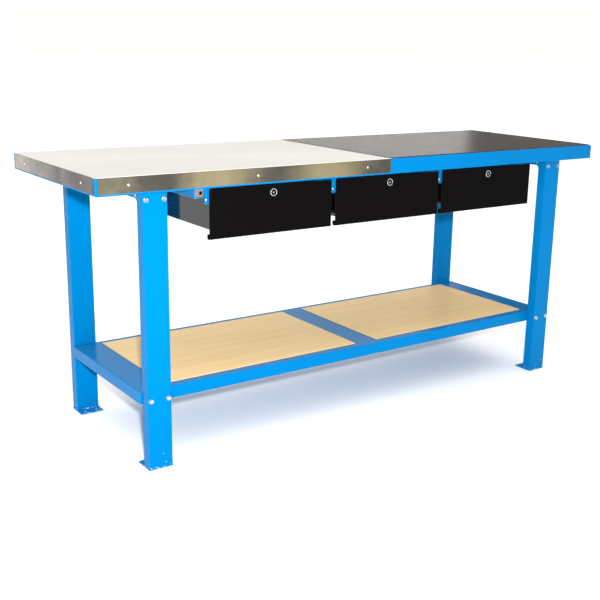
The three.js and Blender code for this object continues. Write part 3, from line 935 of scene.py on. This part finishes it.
def lock_housing(number):
    """Chrome ring with a rounded rim and a recess painted black as painted shade, and the threaded
    barrel behind it.
    """
    node = f"lock_housing_{number}"
    low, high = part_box(node)
    centre = ((low.x + high.x) / 2, 0, (low.z + high.z) / 2)
    flange, rim, bore, barrel = 5.0 * MM, 13.0 * MM, 6.7 * MM, 9.0 * MM
    crest, recess, collar = 2.2 * MM, 2.6 * MM, 1.4 * MM
    face, seat, back = low.y, low.y + flange, high.y
    rounded_rim = arc_points((rim - crest, face + crest), crest, 0, -160, 10)
    profile = [(bore, back), (barrel, back), (barrel, seat), (rim, seat)] + rounded_rim
    profile += [(rim - 2 * crest, face + recess), (bore + 1.0 * MM, face + recess)]
    profile += [(bore + 0.6 * MM, face + collar), (bore, face + collar)]
    # The recess inside the rim is painted black: painted shade.
    ring = paint_recess_shade(turned_ring(profile, centre), centre, bore, rim - 1.85 * crest)
    finishes = [CHROME, FRONT_BLACK]
    assemble(f"lock_ring_{number}", [ring], finishes, f"drawer_{number}", [node])


def key_slot(x, z, face):
    """The shape of the keyway: an upright slot."""
    half_width, half_height = 0.6 * MM, 2.6 * MM
    clear, deep = 1.0 * MM, 4.0 * MM
    low = (x - half_width, face - clear, z - half_height)
    return bake(cuboid(low, (x + half_width, face + deep, z + half_height)))


def lock_plug(number):
    """The plug with its domed middle, its groove painted black as painted shade, its keyway, and the
    cam on its back.
    """
    node = f"lock_plug_{number}"
    low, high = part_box(node)
    radius = 6.4 * MM
    z = (low.z + high.z) / 2
    x = low.x + radius
    face, back = low.y, high.y
    boss, step, chamfer, dome = 3.4 * MM, 1.6 * MM, 0.5 * MM, 4.2 * MM
    groove = face + step
    profile = [(0, face)] + arc_points((0, face + dome), dome, -78, -36, 5)
    profile += [(boss, groove), (radius - chamfer, groove), (radius, groove + chamfer)]
    profile += [(radius, back), (0, back)]
    bm = bmesh.new()
    bm.from_mesh(turned(profile, (x, 0, z)))
    plug = cut_with(bm, [key_slot(x, z, face)])
    # The groove round the dome is painted black: painted shade.
    paint_recess_shade(plug, (x, 0, z), boss, radius)
    cam_half, cam_sheet = 6.0 * MM, 2.5 * MM
    cam_low = (x - cam_half, back - cam_sheet, z - cam_half)
    cam = slab(cam_low, (high.x, back, z + cam_half), 0.5 * MM)
    finishes = [CHROME, FRONT_BLACK]
    assemble(f"key_plug_{number}", [plug, cam], finishes, f"lock_{number}", [node])


# ---------------------------------------------------------------- CAD nodes that stay


def dress_cad_node(node, material, edge):
    """Puts a finish on a CAD node that stays, and softens its sharp edges."""
    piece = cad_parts[node]
    piece.data.materials.clear()
    piece.data.materials.append(material)
    add_modifier(piece, "WELD", {"merge_threshold": 0.01 * MM})
    add_modifier(piece, *soften(edge))


def dress_cad_nodes():
    dress_cad_node("core_board", CORE, 0.8 * MM)
    for number in DRAWERS:
        dress_cad_node(f"drawer_shell_{number}", SIDE_BLACK, SHEET_EDGE)
        for side in SIDES:
            dress_cad_node(f"outer_slide_{number}_{side}", ZINC, 0.2 * MM)
            dress_cad_node(f"inner_slide_{number}_{side}", ZINC, 0.2 * MM)


# ---------------------------------------------------------------- studio


def pale_floor():
    """A very wide pale floor disc, level with the undersides of the feet."""
    radius, steps = 60.0, 96
    bm = bmesh.new()
    rim = []
    for step in range(steps):
        angle = 2 * math.pi * step / steps
        rim.append(bm.verts.new((radius * math.cos(angle), radius * math.sin(angle), 0.0)))
    bm.faces.new(rim)
    floor_mesh = bake(bm)
    material, tree, shader = new_material("pale_floor", Roughness=0.9, Specular_IOR_Level=0.1)
    cloud = remap(tree, noise(tree, object_coords(tree), 0.8), 0.3, 0.7, 0.0, 1.0)
    pale = mix_colour(tree, cloud, (0.885, 0.885, 0.885, 1), (0.905, 0.905, 0.905, 1))
    tree.links.new(pale, shader.inputs["Base Color"])
    floor_mesh.materials.append(material)
    floor = bpy.data.objects.new("pale_floor", floor_mesh)
    SCENE.collection.objects.link(floor)


def toward(azimuth):
    """Level direction, turned from +Y towards +X by an angle in degrees."""
    angle = math.radians(azimuth)
    return (math.sin(angle), math.cos(angle), 0.0)


def studio_world():
    """Surroundings that light and are mirrored: a bright ceiling, a white wall at the back
    right, dim walls elsewhere, and a dark curtain before the white wall, which the mat mirrors."""
    world = bpy.data.worlds.new("studio")
    SCENE.world = world
    world.use_nodes = True
    tree = world.node_tree
    direction = add_node(tree, "ShaderNodeTexCoord").outputs["Generated"]

    def along(azimuth):
        product = {0: direction, 1: toward(azimuth)}
        return add_node(tree, "ShaderNodeVectorMath", product, operation="DOT_PRODUCT").outputs["Value"]

    def band(value, start, end, soft):
        """1 from start to end, with a short rise at the start and a longer fall at the end."""
        rising = remap(tree, value, start - soft, start + soft, 0.0, 1.0)
        falling = remap(tree, value, end - 4 * soft, end + 4 * soft, 1.0, 0.0)
        return math_node(tree, "MULTIPLY", rising, falling)

    white_wall, dim_level, ceiling_level = 40, 0.15, 2.2
    curtain_edge, curtain_level = 44.5, 0.02
    height = add_node(tree, "ShaderNodeSeparateXYZ", {0: direction}).outputs["Z"]
    walls = remap(tree, along(white_wall), 0.40, 0.85, dim_level, 1.0, "SMOOTHSTEP")
    ceiling = remap(tree, height, 0.38, 0.92, 0.0, 1.0, "SMOOTHSTEP")
    level = mix_value(tree, ceiling, walls, ceiling_level)
    curtain = band(along(curtain_edge + 90), 0.0, 0.55, 0.006)
    curtain = math_node(tree, "MULTIPLY", curtain, band(height, 0.055, 0.40, 0.01))
    in_front = remap(tree, along(curtain_edge), 0.0, 0.1, 0.0, 1.0)
    curtain = math_node(tree, "MULTIPLY", curtain, in_front)
    level = mix_value(tree, curtain, level, curtain_level)
    tree.links.new(level, tree.nodes["Background"].inputs["Strength"])
    tree.nodes["Background"].inputs["Color"].default_value = (1.0, 0.995, 0.985, 1)


def area_light(name, location, target, size, power):
    light = bpy.data.lights.new(name, "AREA")
    light.shape = "DISK"
    light.size = size
    light.energy = power
    lamp = bpy.data.objects.new(name, light)
    lamp.location = location
    aim = Vector(target) - Vector(location)
    lamp.rotation_euler = aim.to_track_quat("-Z", "Y").to_euler()
    SCENE.collection.objects.link(lamp)


def studio_lights():
    """One small lamp close to the camera, which throws the shadows that a flash would."""
    area_light("key", (-2.0, -2.85, 1.46), target=(-0.2, 0.0, 0.6), size=0.12, power=175)


def camera():
    """The view of the photograph: from the left of the front, a little above the worktop."""
    yaw, pitch, roll = math.radians(36.51), math.radians(-14.72), math.radians(1.33)
    data = bpy.data.cameras.new("camera")
    data.lens = 56.9
    data.sensor_width = 36.0
    data.shift_x = -0.05
    data.shift_y = -0.0154
    eye = bpy.data.objects.new("camera", data)
    eye.location = (-2.065, -2.805, 1.3006)
    level = math.cos(pitch)
    ahead = Vector((math.sin(yaw) * level, math.cos(yaw) * level, math.sin(pitch)))
    eye.rotation_mode = "QUATERNION"
    eye.rotation_quaternion = Quaternion(ahead, -roll) @ ahead.to_track_quat("-Z", "Y")
    SCENE.collection.objects.link(eye)
    SCENE.camera = eye


# ---------------------------------------------------------------- the whole scene

camera()
steel_cover()
cover_screws()
worktop_pan()
ribbed_mat()
for corner in CORNERS:
    leg(corner)
for side in SIDES:
    crossbeam(side)
leg_bolts()
shelf()
for number in HANGERS:
    hanger(number)
for number in DRAWERS:
    drawer_front(number)
    drawer_box(number)
    lock_housing(number)
    lock_plug(number)
dress_cad_nodes()
pale_floor()
studio_world()
studio_lights()
SCENE.view_settings.view_transform = "Standard"
